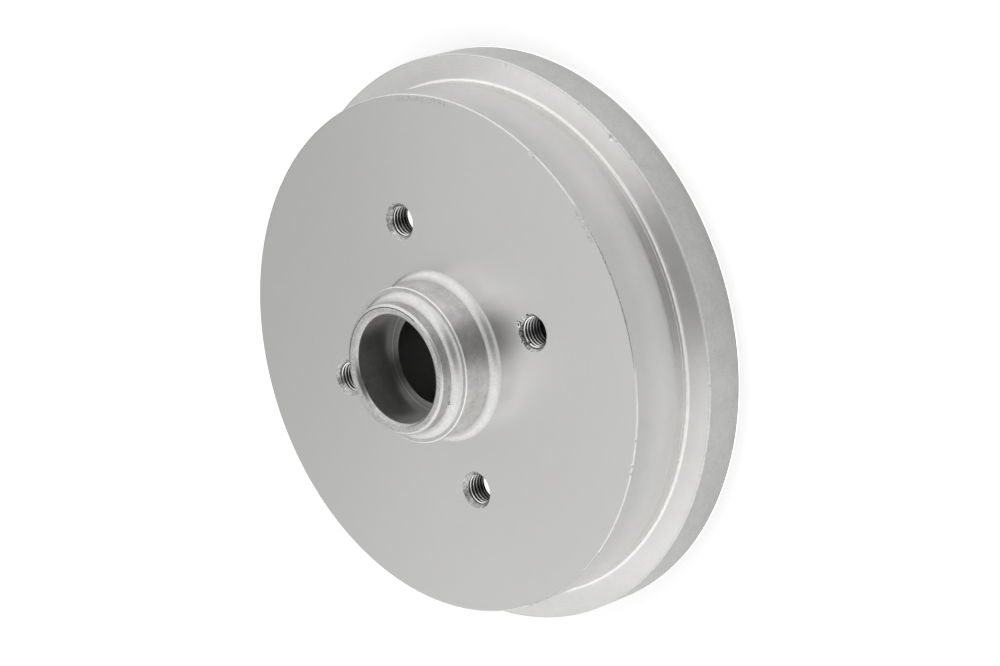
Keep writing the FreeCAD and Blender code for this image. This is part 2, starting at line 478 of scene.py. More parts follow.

# Dark pits in the torn mouth, sunk and painted with the dark root finish as painted shade: angle
# about the hole, depth and reach; and how far they are sunk
TORN_PITS = (
    (124, 1.25, 0.55), (92, 0.95, 0.45), (75, 0.8, 0.35),
    (108, 0.55, 0.35), (56, 1.2, 0.35), (2, 0.4, 0.5),
)
TORN_PIT_DEPTH = 0.35

# The torn mouth is cut steeper on its far side, where one more crest of the thread shows
STEEP_MIDDLE = 110.0
STEEP_REACH = 95.0
STEEP_SLOPE = 1.35


def off_root(row):
    """How far a row lies from the middle of the thread's root, as a share of the pitch."""
    return abs((row / ROWS_PER_PITCH + 0.5) % 1 - 0.5)


def thread_radius(row):
    """Radius of the thread's 60 degree profile on a row."""
    flank = 0.5 - ROOT_FLAT / 2 - CREST_FLAT / 2
    share = min(1, max(0, (off_root(row) - ROOT_FLAT / 2) / flank))
    return BOLT_HOLE_RADIUS + (THREAD_CREST_RADIUS - BOLT_HOLE_RADIUS) * share


def cone_slope(hole_angle, around_hole):
    """How fast a countersink closes in with depth."""
    if hole_angle != TORN_HOLE:
        return 1.0
    share = max(0, 1 - (abs(around_hole - STEEP_MIDDLE) / STEEP_REACH) ** 4)
    return 1 + (STEEP_SLOPE - 1) * share


def in_torn_pit(hole_angle, around_hole, depth):
    """Whether a place in a hole lies in one of the dark pits of the torn mouth."""
    if hole_angle != TORN_HOLE:
        return False
    for middle, pit_depth, reach in TORN_PITS:
        off_angle = math.radians(abs(around_hole - middle)) * BOLT_HOLE_RADIUS
        if math.hypot(off_angle, depth - pit_depth) < reach:
            return True
    return False


def cone_finish(hole_angle, around_hole):
    """The finish of a place on a countersink."""
    middle, reach = TORN_STRETCHES[0]
    return "torn" if hole_angle == TORN_HOLE and abs(around_hole - middle) < reach else "mouth"


def mouth_wear(hole_angle, around_hole, place, depth):
    """How far a place on a hole's countersink lies outside the true cone."""
    wear = sum(height * noise.noise(place * grain) for height, grain in MOUTH_WAVES)
    if hole_angle == TORN_HOLE:
        for middle, reach in TORN_STRETCHES:
            share = max(0, 1 - (abs(around_hole - middle) / reach) ** 2)
            downwards = Vector((0, 0, depth * TORN_GRAIN_DOWN))
            wear += TORN_DEPTH * share * noise.noise(place * TORN_GRAIN + downwards)
    return wear * max(0, 1 - depth / MOUTH_DEPTH)


def hole_column(shell, hole_angle, column, shift, rows):
    """A column of a bolt hole: vertices and finishes by row, and its ends on face and underside."""
    turn = 2 * math.pi * column / HOLE_COLUMNS
    around_hole = math.degrees(turn)
    direction = Vector((math.cos(turn), math.sin(turn), 0))
    centre = polar(BOLT_CIRCLE_RADIUS, hole_angle)
    mouth = centre + direction * BOLT_MOUTH_RADIUS
    vertices, finishes = {}, {}
    top = bottom = None
    for row in rows:
        depth = THREAD_PITCH * (row / ROWS_PER_PITCH - column / HOLE_COLUMNS) + shift
        depth = min(DISC_THICKNESS, max(0, depth))
        if depth < NEAR_FACE:
            if top is None:
                place = mouth + direction * mouth_wear(hole_angle, around_hole, mouth, 0)
                top = shell.add_point(place + Vector((0, 0, FACE_HEIGHT)))
            vertices[row] = top
            continue
        if depth > DISC_THICKNESS - NEAR_FACE:
            if bottom is None:
                place = centre + direction * BOLT_HOLE_RADIUS
                bottom = shell.add_point(place + Vector((0, 0, DISC_UNDERSIDE)))
            vertices[row] = bottom
            continue
        cone = BOLT_MOUTH_RADIUS - depth * cone_slope(hole_angle, around_hole)
        cone += mouth_wear(hole_angle, around_hole, mouth, depth)
        radius = max(thread_radius(row), cone)
        if in_torn_pit(hole_angle, around_hole, depth):
            radius += TORN_PIT_DEPTH
            # a pit is sunk and painted dark, as painted shade
            finishes[row] = "root"
        elif cone > thread_radius(row):
            finishes[row] = cone_finish(hole_angle, around_hole)
        else:
            finishes[row] = "root" if off_root(row) < DARK_ROOT else "thread"
        # the last crests run out into the underside at 45 degrees
        radius = max(radius, BOLT_HOLE_RADIUS - (DISC_THICKNESS - depth))
        place = centre + direction * radius
        vertices[row] = shell.add_point(place + Vector((0, 0, FACE_HEIGHT - depth)))
    return vertices, finishes, top, bottom


def bolt_hole(shell, hole_angle):
    """A threaded hole with a countersunk mouth. Returns its rings on the face and the underside."""
    shift = CREST_DEPTHS[hole_angle] + THREAD_PITCH * (FAR_WALL_ANGLE / 360 - 0.5)
    first_row = -ROWS_PER_PITCH * math.ceil(shift / THREAD_PITCH)
    last_row = math.ceil((DISC_THICKNESS - shift) / THREAD_PITCH + 1) * ROWS_PER_PITCH
    rows = range(first_row, last_row + 1)
    grid = [hole_column(shell, hole_angle, column, shift, rows) for column in range(HOLE_COLUMNS)]
    for column, (here, finishes, _, _) in enumerate(grid):
        there, _, end_top, end_bottom = grid[(column + 1) % HOLE_COLUMNS]
        # the thread climbs by a pitch a turn, so the last column meets the first a pitch further up
        climb = ROWS_PER_PITCH if column == HOLE_COLUMNS - 1 else 0
        for row in rows[:-1]:
            beside = there.get(row - climb, end_top)
            beside_below = there.get(row + 1 - climb, end_top)
            corners = (here[row], beside, beside_below, here[row + 1])
            shell.add_face(corners, [None] * 4, finishes.get(row, "mouth"))
        corners = (here[last_row], there.get(last_row - climb, end_top), end_bottom)
        shell.add_face(corners, [None] * 3, "thread")
    return [top for _, _, top, _ in grid], [bottom for _, _, _, bottom in grid]


def outside():
    """Strokes from the front face over the wall and the flange to the open rim."""
    edge = WALL_RADIUS - FACE_ROUND
    face_border = [(edge - inset, FACE_HEIGHT) for inset in FACE_BORDER]
    # stretches of the face's edge painted darker, as painted shade
    edge_shade_patches = marked("worn_edge", SHADED_EDGES) + marked("wall", SHADED_EDGE_BORDERS)
    foot = (WALL_RADIUS + WALL_FILLET, FLANGE_HEIGHT + WALL_FILLET)
    low_heights = (WALL_ROWS[-1][0], LOW_WALL_MIDDLE, *WALL_HIGHLIGHT_BAND[::-1], foot[1])
    low_wall = [(WALL_RADIUS, height) for height in low_heights]
    # a painted highlight along the fillet at the wall's foot
    bright_lines = [("wall_foot", *stretch) for stretch in FOOT_HIGHLIGHT_LINES]
    flange_edge = FLANGE_RADIUS - FLANGE_ROUND
    flange = [(foot[0], FLANGE_HEIGHT), (FLANGE_MIDDLE, FLANGE_HEIGHT)]
    flange += [(flange_edge - inset, FLANGE_HEIGHT) for inset in FLANGE_BORDER]
    rim_heights = (FLANGE_HEIGHT - FLANGE_ROUND, *RIM_HEIGHTS, RIM_ROUND)
    rim = [(FLANGE_RADIUS, height) for height in rim_heights]
    return [
        (stepped_line(face_border), "face", *marked("pitted", PITTED_BORDERS)),
        (arc((edge, FACE_HEIGHT - FACE_ROUND), FACE_ROUND, 90, 0, rows=6), "face_edge", *edge_shade_patches),
        (tilted_wall(), "wall"),
        # the finish called step is a band of painted highlight
        (stepped_line(low_wall), "low_wall", ("step", 0, 360, *WALL_HIGHLIGHT_BAND)),
        (arc(foot, WALL_FILLET, 180, 225, rows=5), "wall", *bright_lines),
        (arc(foot, WALL_FILLET, 225, 270, rows=5), "flange", *bright_lines),
        (stepped_line(flange), "flange"),
        (arc((flange_edge, FLANGE_HEIGHT - FLANGE_ROUND), FLANGE_ROUND, 90, 0, rows=8), "edge"),
        (stepped_line(rim), "rim"),
        (arc((FLANGE_RADIUS - RIM_ROUND, RIM_ROUND), RIM_ROUND, 0, -90, rows=5), "rim"),
    ]


def cavity():
    """Strokes from the open rim over the friction surface to the disc's underside."""
    low = (FRICTION_RADIUS, FRICTION_BEVEL)
    high = (FRICTION_RADIUS, DISC_UNDERSIDE - CAVITY_FILLET)
    return [
        (line((FRICTION_RADIUS + FRICTION_BEVEL, 0), low, rows=1), "inside"),
        (line(low, high, rows=6), "inside"),
        (arc((FRICTION_RADIUS - CAVITY_FILLET, high[1]), CAVITY_FILLET, 0, 90, rows=6), "inside"),
    ]


def boss():
    """Strokes from the disc's underside down the outside of the boss."""
    high = (BOSS_RADIUS, DISC_UNDERSIDE - BOSS_FILLET)
    low = (BOSS_RADIUS, BOSS_END + BOSS_ROUND)
    return [
        (arc((BOSS_RADIUS + BOSS_FILLET, high[1]), BOSS_FILLET, 90, 180, rows=6), "inside"),
        (line(high, low, rows=4), "inside"),
        (arc((BOSS_RADIUS - BOSS_ROUND, low[1]), BOSS_ROUND, 0, -90, rows=4), "inside"),
    ]


def bore():
    """Strokes from the boss's end up through the stepped bore to the nose's face."""
    stops = [
        (BOSS_RADIUS - BOSS_ROUND, BOSS_END),
        (SEAL_SEAT_RADIUS + SEAL_BEVEL, BOSS_END),
        (SEAL_SEAT_RADIUS, BOSS_END + SEAL_BEVEL),
        (SEAL_SEAT_RADIUS, SEAL_SHOULDER),
        (INNER_SEAT_RADIUS, SEAL_SHOULDER),
        (INNER_SEAT_RADIUS, INNER_SHOULDER),
        (LAND_RADIUS, INNER_SHOULDER),
        (LAND_RADIUS, OUTER_SHOULDER),
        (OUTER_SEAT_RADIUS - SHOULDER_HIGHLIGHT_WIDTH, OUTER_SHOULDER),
        (OUTER_SEAT_RADIUS, OUTER_SHOULDER),
        (OUTER_SEAT_RADIUS, NOSE_HEIGHT - BORE_MOUTH[1]),
    ]
    # the deeper bore is painted dark, as painted shade, and a thin bright line on its shoulder is a painted
    # highlight
    finishes = ["deep_bore"] * (len(stops) - 3) + ["shoulder", "bore"]
    strokes = []
    for start, end, finish in zip(stops, stops[1:], finishes):
        rows = max(1, round(math.dist(start, end) / BORE_ROW))
        strokes.append((line(start, end, rows), finish))
    mouth = rounded_mouth(OUTER_SEAT_RADIUS, NOSE_HEIGHT, BORE_MOUTH, *MOUTH_RISES)
    return [*strokes, (mouth, "bore_edge")]


def hub():
    """Strokes from the nose's face over the ledge and the hub down to the front face."""
    bevel_start = (NOSE_RADIUS - NOSE_BEVEL[0], NOSE_HEIGHT)
    bevel_end = (NOSE_RADIUS, NOSE_HEIGHT - NOSE_BEVEL[1])
    shade_line_start = (bevel_start[0] - SHADE_LINE_WIDTH, NOSE_HEIGHT)
    bevel, _ = line(bevel_start, bevel_end, rows=2)
    nose_foot = (NOSE_RADIUS, LEDGE_HEIGHT + NOSE_FILLET)
    cracks = [("torn", *crack) for crack in CRACKS]
    brow = HUB_RADIUS - HUB_ROUND
    ledge = line((NOSE_RADIUS + NOSE_FILLET, LEDGE_HEIGHT), (brow, LEDGE_HEIGHT), rows=2)
    hub_top = (HUB_RADIUS, LEDGE_HEIGHT - HUB_ROUND)
    hub_foot = (HUB_RADIUS, FACE_HEIGHT + HUB_FILLET)
    return [
        # a dark line of painted shade on the nose's face beside the bevel
        (line(shade_line_start, bevel_start, rows=1), "nose_face", *marked("seam", SHADE_LINE_STRETCHES)),
        ((bevel, ROUNDED_OVER), "fillet"),
        (line(bevel_end, nose_foot, rows=8), "nose_side"),
        (hollow(nose_foot, NOSE_FILLET, FILLET_CUT), "fillet", *cracks),
        (ledge, "ledge"),
        (arc((brow, hub_top[1]), HUB_ROUND, 90, 0, rows=6), "brow"),
        (line(hub_top, hub_foot, rows=8), "hub"),
        (hollow(hub_foot, HUB_FILLET, FILLET_CUT), "fillet"),
    ]


def drum_shell():
    """The whole surface: the turned parts, then the bolt holes, then the flat faces between."""
    shell = Shell()
    inner_columns = columns(INNER_COLUMNS)
    hub_columns = columns(HUB_COLUMNS, around(CRACKED_ANGLE, CRACKED_REACH, CRACK_SPACING))
    face_rim, outer_rim = shell.turn(outer_columns(), outside())
    inner_rim, cavity_rim = shell.turn(inner_columns, cavity())
    boss_rim, mouth_rim = shell.turn(inner_columns, boss() + bore())
    nose_rim, hub_rim = shell.turn(hub_columns, hub())
    holes = [bolt_hole(shell, 360 / BOLT_COUNT * i) for i in range(BOLT_COUNT)]
    shell.plane(face_rim, hub_rim, [top for top, _ in holes], 1, "face")
    shell.plane(cavity_rim, boss_rim, [bottom for _, bottom in holes], -1, "inside")
    shell.plane(outer_rim, inner_rim, [], -1, "inside")
    shell.plane(nose_rim, mouth_rim, [], 1, "nose_face")
    return shell


# The curled chip on the torn hole's edge: its place from the hole's centre, its radii, how far it
# climbs in a radian and over what angle it bends; then its wire's radius, and the shares of that
# radius that its ends have and by which it is raised
CURL_OFFSET = (4.0, 5.25)
CURL_RADII = (0.95, 0.72)
CURL_RISE = 0.05
CURL_TURN = 330
CURL_WIRE = 0.23
CURL_ENDS = 0.6
CURL_RAISED = 0.4

# Stretches along the curl, and round the patch under it
CURL_POINTS = 24

# The dark patch under it, a sheet of painted shade for the inside of the curl: its size against
# the curl's, how far and how often its outline sways, its border's height over the face, and how
# much higher its middle is
CURL_SHADE_SIZE = 1.35
CURL_SHADE_SWAY = 0.1
CURL_SHADE_WAVES = 3
CURL_SHADE_HEIGHT = 0.02
CURL_SHADE_RISE = 0.03

# Slivers of torn metal at the same hole: angle about the hole, radius, length, heading, thickness
SLIVERS = [
    (26, 6.0, 2.8, 95, 0.19),
    (41, 6.5, 1.6, 140, 0.14),
    (66, 6.7, 1.2, 160, 0.12),
    (100, 6.7, 1.5, 195, 0.12),
    (112, 6.3, 1.2, 215, 0.13),
    (135, 6.2, 1.5, 228, 0.13),
    (8, 6.9, 1.4, 95, 0.13),
    (354, 6.6, 1.1, 80, 0.12),
]

# How far a sliver bends aside and upwards, its share of thickness in the middle and how fast
# that falls towards the ends, and how far it is raised, as a share of its thickness
SLIVER_BEND = 0.25
SLIVER_UPWARDS = 0.3
SLIVER_MIDDLE = 1.05
SLIVER_TAPER = 1.8
SLIVER_RAISED = 0.5

# Stretches along a sliver, and sides round each wire
SLIVER_POINTS = 8
WIRE_SIDES = 8


def wire(points, thicknesses):
    """Vertices and faces of a closed round wire along some points."""
    vertices, faces = [], []
    for i, point in enumerate(points):
        ahead = (points[min(i + 1, len(points) - 1)] - points[max(i - 1, 0)]).normalized()
        level = ahead.cross(Vector((0, 0, 1))).normalized()
        upright = level.cross(ahead)
        for side in range(WIRE_SIDES):
            turn = 2 * math.pi * side / WIRE_SIDES
            vertices.append(point + (level * math.cos(turn) + upright * math.sin(turn)) * thicknesses[i])
    for i in range(len(points) - 1):
        for side in range(WIRE_SIDES):
            beside = (side + 1) % WIRE_SIDES
            near, far = i * WIRE_SIDES, (i + 1) * WIRE_SIDES
            faces.append((near + side, near + beside, far + beside, far + side))
    last = (len(points) - 1) * WIRE_SIDES
    faces.append(tuple(range(WIRE_SIDES - 1, -1, -1)))
    faces.append(tuple(range(last, last + WIRE_SIDES)))
    return vertices, faces


def curled_chip(middle):
    """A chip that is bent round and thinner at its ends."""
    across, along = CURL_RADII
    turns = [math.radians(CURL_TURN * i / CURL_POINTS) for i in range(CURL_POINTS + 1)]
    path = [middle + Vector((math.cos(t) * across, math.sin(t) * along, CURL_RISE * t)) for t in turns]
    return wire(path, [CURL_WIRE * (CURL_ENDS + (1 - CURL_ENDS) * math.sin(t / 2)) for t in turns])


def sliver(hole, angle, radius, length, heading, thickness):
    """A thin bent strand of metal that lies on the countersink or beside it."""
    middle = polar(radius, angle)
    ahead = polar(1, heading)
    aside = Vector((-ahead.y, ahead.x, SLIVER_UPWARDS))
    shares = [i / SLIVER_POINTS - 0.5 for i in range(SLIVER_POINTS + 1)]
    path = []
    for share in shares:
        place = middle + ahead * length * share + aside * SLIVER_BEND * length * share**2
        on_cone = max(0, BOLT_MOUTH_RADIUS - place.to_2d().length) / cone_slope(TORN_HOLE, angle)
        place.z += SLIVER_RAISED * thickness - on_cone
        path.append(hole + place)
    return wire(path, [thickness * (SLIVER_MIDDLE - SLIVER_TAPER * abs(share)) for share in shares])


def curl_shade_patch(middle):
    """The patch of dark metal under the curl, painted shade for the inside of the curl."""
    across, along = CURL_RADII
    foot = middle + Vector((0, 0, CURL_SHADE_HEIGHT - CURL_RAISED * CURL_WIRE))
    vertices = []
    for i in range(CURL_POINTS):
        turn = 2 * math.pi * i / CURL_POINTS
        reach = CURL_SHADE_SIZE * (1 + CURL_SHADE_SWAY * math.sin(CURL_SHADE_WAVES * turn))
        vertices.append(foot + Vector((math.cos(turn) * across, math.sin(turn) * along, 0)) * reach)
    vertices.append(foot + Vector((0, 0, CURL_SHADE_RISE)))
    return vertices, [(i, (i + 1) % CURL_POINTS, CURL_POINTS) for i in range(CURL_POINTS)]


def torn_metal(burr_material, shade_material):
    """The burr that the tap left on the mouth of one hole: a curl over a dark patch of painted shade, and a
    few slivers.
    """
    hole = polar(BOLT_CIRCLE_RADIUS, TORN_HOLE, FACE_HEIGHT)
    middle = hole + Vector((*CURL_OFFSET, CURL_RAISED * CURL_WIRE))
    parts = [curled_chip(middle), *(sliver(hole, *sizes) for sizes in SLIVERS)]
    bright_faces = sum(len(part_faces) for _, part_faces in parts)
    # the dark patch of painted shade under the curl
    parts.append(curl_shade_patch(middle))
    vertices, faces = [], []
    for part_vertices, part_faces in parts:
        offset = len(vertices)
        vertices += [vertex * MM for vertex in part_vertices]
        faces += [tuple(offset + corner for corner in face) for face in part_faces]
    mesh = bpy.data.meshes.new("torn_metal")
    mesh.from_pydata(vertices, [], faces)
    mesh.polygons.foreach_set("use_smooth", [True] * len(faces))
    mesh.polygons.foreach_set("material_index", [int(i >= bright_faces) for i in range(len(faces))])
    mesh.materials.append(burr_material)
    mesh.materials.append(shade_material)
    mesh.update()
    burr = bpy.data.objects.new("torn_metal", mesh)
    bpy.context.scene.collection.objects.link(burr)
    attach(burr, "root")


class Nodes:
    """A short way to write a material's nodes."""

    def __init__(self, tree):
        self.tree = tree
        self.tree.nodes.clear()

    def add(self, kind, inputs=None, **settings):
        """A node, its settings and its inputs: a number or colour, or another node's output."""
        node = self.tree.nodes.new(kind)
        for name, setting in settings.items():
            setattr(node, name, setting)
        for key, given in (inputs or {}).items():
            socket = node.inputs[key]
            if isinstance(given, bpy.types.NodeSocket):
                self.tree.links.new(given, socket)
            else:
                socket.default_value = given
        return node

    def maths(self, operation, *inputs):
        """One sum, as its output."""
        return self.add("ShaderNodeMath", dict(enumerate(inputs)), operation=operation).outputs[0]

    def noise(self, vector, scale, detail, roughness):
        """A noise from 0 to 1, as its output."""
        inputs = {"Vector": vector, "Scale": scale, "Detail": detail, "Roughness": roughness}
        return self.add("ShaderNodeTexNoise", inputs).outputs[0]

    def ranged(self, factor, from_low, from_high, to_low, to_high):
        """A value moved from one range to another, as its output."""
        inputs = {0: factor, 1: from_low, 2: from_high, 3: to_low, 4: to_high}
        return self.add("ShaderNodeMapRange", inputs).outputs[0]

    def along(self, direction, axis):
        """How far a direction points along an axis, as its output."""
        inputs = {0: direction, 1: axis}
        return self.add("ShaderNodeVectorMath", inputs, operation="DOT_PRODUCT").outputs[1]

    def ray_kinds(self):
        """Whether a ray comes straight from the camera, and whether it is mirrored."""
        rays = self.add("ShaderNodeLightPath").outputs
        straight = self.maths("MAXIMUM", rays["Is Camera Ray"], rays["Is Transmission Ray"])
        return straight, rays["Is Glossy Ray"]


def lathe_coordinates(nodes):
    """The place on the drum, and its radius and height as a second vector, in millimetres."""
    place = nodes.add("ShaderNodeTexCoord").outputs["Object"]
    place = nodes.add("ShaderNodeVectorMath", {0: place, 3: 1 / MM}, operation="SCALE").outputs[0]
    parts = nodes.add("ShaderNodeSeparateXYZ", {0: place})
    flat = nodes.add("ShaderNodeCombineXYZ", {0: parts.outputs[0], 1: parts.outputs[1]}).outputs[0]
    radius = nodes.add("ShaderNodeVectorMath", {0: flat}, operation="LENGTH").outputs[1]
    turned = nodes.add("ShaderNodeCombineXYZ", {0: radius, 1: parts.outputs[2]}).outputs[0]
    return place, turned


# Colour of bare cast iron, as shares of a finish's tone
IRON_TINT = (1.0, 0.995, 0.981)

# Finishes, in the order of the drum's material slots. Each has its tone, roughness and stretch of
# the shine; then how uneven its tone is in the lathe's rings, in clouds of about 6 mm, in mottles
# of 2 mm and in grains of half a millimetre, and how dark its pits are
METALS = {
    "face": (0.712, 0.30, 0.5, 0.01, 0.006, 0.004, 0.006, 0.0),
    "pitted": (0.705, 0.30, 0.5, 0.01, 0.01, 0.02, 0.04, 0.28),
    "face_edge": (0.65, 0.30, 0.5, 0.02, 0.02, 0.03, 0.06, 0.10),
    # painted shade on stretches of the face's edge, which also has pits
    "worn_edge": (0.54, 0.35, 0.3, 0.02, 0.05, 0.10, 0.20, 0.25),
    "wall": (0.54, 0.27, 0.4, 0.01, 0.015, 0.015, 0.02, 0.0),
    # painted lighter than the upper wall, as painted light
    "low_wall": (0.595, 0.36, 0.8, 0.01, 0.015, 0.015, 0.02, 0.0),
    # a band of painted highlight on the wall just above its fillet
    "step": (0.90, 0.80, 0.0, 0.02, 0.03, 0.05, 0.05, 0.0),
    # a painted highlight line on the fillet at the wall's foot
    "wall_foot": (0.91, 0.78, 0.2, 0.02, 0.03, 0.03, 0.05, 0.0),
    "flange": (0.85, 0.38, 0.7, 0.02, 0.02, 0.01, 0.02, 0.0),
    "edge": (0.65, 0.45, 0.2, 0.02, 0.03, 0.03, 0.10, 0.10),
    "rim": (0.50, 0.42, 0.2, 0.02, 0.05, 0.03, 0.06, 0.07),
    "hub": (0.59, 0.36, 0.3, 0.02, 0.14, 0.07, 0.08, 0.05),
    "brow": (0.80, 0.40, 0.1, 0.03, 0.03, 0.04, 0.06, 0.05),
    "fillet": (0.62, 0.38, 0.1, 0.07, 0.04, 0.05, 0.08, 0.10),
    "ledge": (0.66, 0.38, 0.1, 0.06, 0.04, 0.05, 0.08, 0.05),
    "nose_face": (0.63, 0.38, 0.1, 0.09, 0.05, 0.10, 0.17, 0.28),
    "nose_side": (0.51, 0.42, 0.2, 0.03, 0.08, 0.12, 0.12, 0.10),
    # a dark line of painted shade
    "seam": (0.12, 0.40, 0.2, 0.01, 0.10, 0.20, 0.20, 0.0),
    "bore_edge": (0.43, 0.28, 0.1, 0.04, 0.05, 0.10, 0.16, 0.25),
    "bore": (0.95, 0.30, 0.3, 0.01, 0.03, 0.03, 0.06, 0.0),
    # a painted highlight on the bore's shoulder, then painted shade deep in the bore
    "shoulder": (0.48, 0.40, 0.3, 0.01, 0.03, 0.03, 0.03, 0.0),
    "deep_bore": (0.24, 0.35, 0.3, 0.01, 0.03, 0.03, 0.03, 0.0),
    "mouth": (0.50, 0.42, 0.0, 0.01, 0.15, 0.28, 0.38, 0.40),
    "torn": (0.22, 0.42, 0.0, 0.01, 0.15, 0.40, 0.40, 0.70),
    "thread": (0.84, 0.28, 0.0, 0.01, 0.0, 0.05, 0.10, 0.0),
    "root": (0.12, 0.40, 0.0, 0.01, 0.0, 0.10, 0.10, 0.0),
    "inside": (0.55, 0.40, 0.4, 0.01, 0.04, 0.02, 0.02, 0.0),
}

# The same for the torn metal that lies on the drum
BURR_METAL = (0.96, 0.55, 0.0, 0.01, 0.0, 0.02, 0.05, 0.0)

# Finishes whose tone changes with height, as painted shade and light: the thread and the bore
# darker deeper in, the wall lighter towards its foot. Where the change begins and where it ends
# further down, and the share of the tone that is reached there
PAINTED_SHADING_BY_HEIGHT = {
    "wall": (37.0, 29.0, 1.11),
    "thread": (40.3, 35.1, 0.2),
    "bore": (55.0, 45.4, 0.38),
}

# The noises of a finish: fineness to the millimetre, detail and roughness
RING_NOISE = (1.8, 3.0, 0.7)
CLOUD_NOISE = (0.16, 3.0, 0.6)
MOTTLE_NOISE = (0.6, 3.0, 0.6)
GRAIN_NOISE = (2.2, 3.0, 0.6)
PIT_NOISE = (1.3, 2.0, 0.7)

# Values between which a noise mostly lies, and those between which a pit's border fades out
NOISE_SPREAD = (0.3, 0.7)
PIT_BORDER = (0.36, 0.46)

# How high the lathe's rings stand and how deep the darkest pits are, and the turn that lays the
# shine's stretch across the cut
RING_RELIEF = 0.004
PIT_RELIEF = 0.08
SHINE_TURN = 0.25


def turned_metal(name, tone, roughness, stretch, streaks, clouds, mottles, grains, pits):
    """Cast iron as the lathe leaves it: fine rings, an uneven tone, and pits where it is rough."""
    material = bpy.data.materials.new(f"{name}_iron")
    material.use_nodes = True
    nodes = Nodes(material.node_tree)
    place, turned = lathe_coordinates(nodes)
    rings = nodes.noise(turned, *RING_NOISE)
    shade = nodes.ranged(rings, *NOISE_SPREAD, 1 - streaks, 1 + streaks)
    for settings, amount in ((CLOUD_NOISE, clouds), (MOTTLE_NOISE, mottles), (GRAIN_NOISE, grains)):
        patches = nodes.ranged(nodes.noise(place, *settings), *NOISE_SPREAD, 1 - amount, 1 + amount)
        shade = nodes.maths("MULTIPLY", shade, patches)
    pitted = nodes.noise(place, *PIT_NOISE)
    shade = nodes.maths("MULTIPLY", shade, nodes.ranged(pitted, *PIT_BORDER, 1 - pits, 1.0))
    # the tone painted by height, as painted shade and light
    if name in PAINTED_SHADING_BY_HEIGHT:
        highest, lowest, share = PAINTED_SHADING_BY_HEIGHT[name]
        level = nodes.add("ShaderNodeSeparateXYZ", {0: place}).outputs[2]
        shade = nodes.maths("MULTIPLY", shade, nodes.ranged(level, lowest, highest, share, 1.0))
    iron = tuple(tone * share for share in IRON_TINT)
    colour = nodes.add("ShaderNodeVectorMath", {0: iron, 3: shade}, operation="SCALE").outputs[0]

    ring_relief = nodes.maths("MULTIPLY", rings, RING_RELIEF)
    relief = nodes.maths("ADD", ring_relief, nodes.maths("MULTIPLY", pitted, PIT_RELIEF * pits))
    bump = nodes.add("ShaderNodeBump", {"Height": relief, "Distance": MM, "Strength": 1.0}).outputs[0]
    tangent = nodes.add("ShaderNodeTangent", direction_type="RADIAL", axis="Z").outputs[0]
    shader = nodes.add("ShaderNodeBsdfPrincipled", {
        "Base Color": colour,
        "Metallic": 1.0,
        "Roughness": roughness,
        "Anisotropic": stretch,
        "Anisotropic Rotation": SHINE_TURN,
        "Normal": bump,
        "Tangent": tangent,
    })
    nodes.add("ShaderNodeOutputMaterial", {"Surface": shader.outputs[0]})
    return material


def brake_drum():
    """The dressed drum, which stands for the CAD solid, and the burr on it."""
    materials = {name: turned_metal(name, *amounts) for name, amounts in METALS.items()}
    drum = drum_shell().build("turned_drum", materials)
    torn_metal(turned_metal("burr", *BURR_METAL), materials["root"])
    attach(drum, "root")
    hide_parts("brake_drum")


# Where the photograph was taken from, the point aimed at, the camera's roll and its lens
CAMERA_PLACE = Vector((39.93, -837.68, 803.25))
CAMERA_AIM = Vector((0.856, 4.791, 5.015))
CAMERA_ROLL = -107.772
CAMERA_LENS = 113.883


def photo_camera():
    """The camera of the photograph, tilted as it was held. Returns its right, up and back."""
    forward = (CAMERA_AIM - CAMERA_PLACE).normalized()
    level = forward.cross(Vector((0, 0, 1))).normalized()
    upright = level.cross(forward)
    roll = math.radians(CAMERA_ROLL)
    right = level * math.cos(roll) + upright * math.sin(roll)
    up = upright * math.cos(roll) - level * math.sin(roll)
    data = bpy.data.cameras.new("photo_camera")
    data.lens = CAMERA_LENS
    data.sensor_width = 36
    data.clip_start = 0.01
    data.clip_end = 50
    camera = bpy.data.objects.new("photo_camera", data)
    turned = Matrix((right, up, -forward)).transposed().to_4x4()
    camera.matrix_world = Matrix.Translation(CAMERA_PLACE * MM) @ turned
    bpy.context.scene.collection.objects.link(camera)
    bpy.context.scene.camera = camera
    return right, up, -forward


# The open side of the light tent, where the room behind the photographer stays dark: half its
# angles of view along the picture's height and across it, its brightness, how far it is raised,
# and the shares of its half width between which it fades into the tent
OPENING_ALONG = 25.0
OPENING_ACROSS = 29.0
OPENING_LEVEL = 0.16
OPENING_RAISED = 7.0
OPENING_BORDER = (0.85, 1.15)

# Directions that point less far towards the opening than this count as beside it
LEAST_AHEAD = 0.001

# A greyer patch of the tent's wall on the far side, that the front face mirrors
GREY_AZIMUTH = 80.0
GREY_ELEVATION = 20.0
GREY_INNER = 10.0
GREY_OUTER = 31.0
GREY_LEVEL = 0.12

# Brighter sides to the left and right of the drum, where the lamps stand behind the tent
SIDE_START = 0.3
SIDE_END = 0.6
SIDE_LEVEL = 1.3


def pointing(azimuth, elevation):
    """The unit vector at an azimuth from +X and an elevation above the floor."""
    turn, rise = math.radians(azimuth), math.radians(elevation)
    return Vector((math.cos(turn) * math.cos(rise), math.sin(turn) * math.cos(rise), math.sin(rise)))


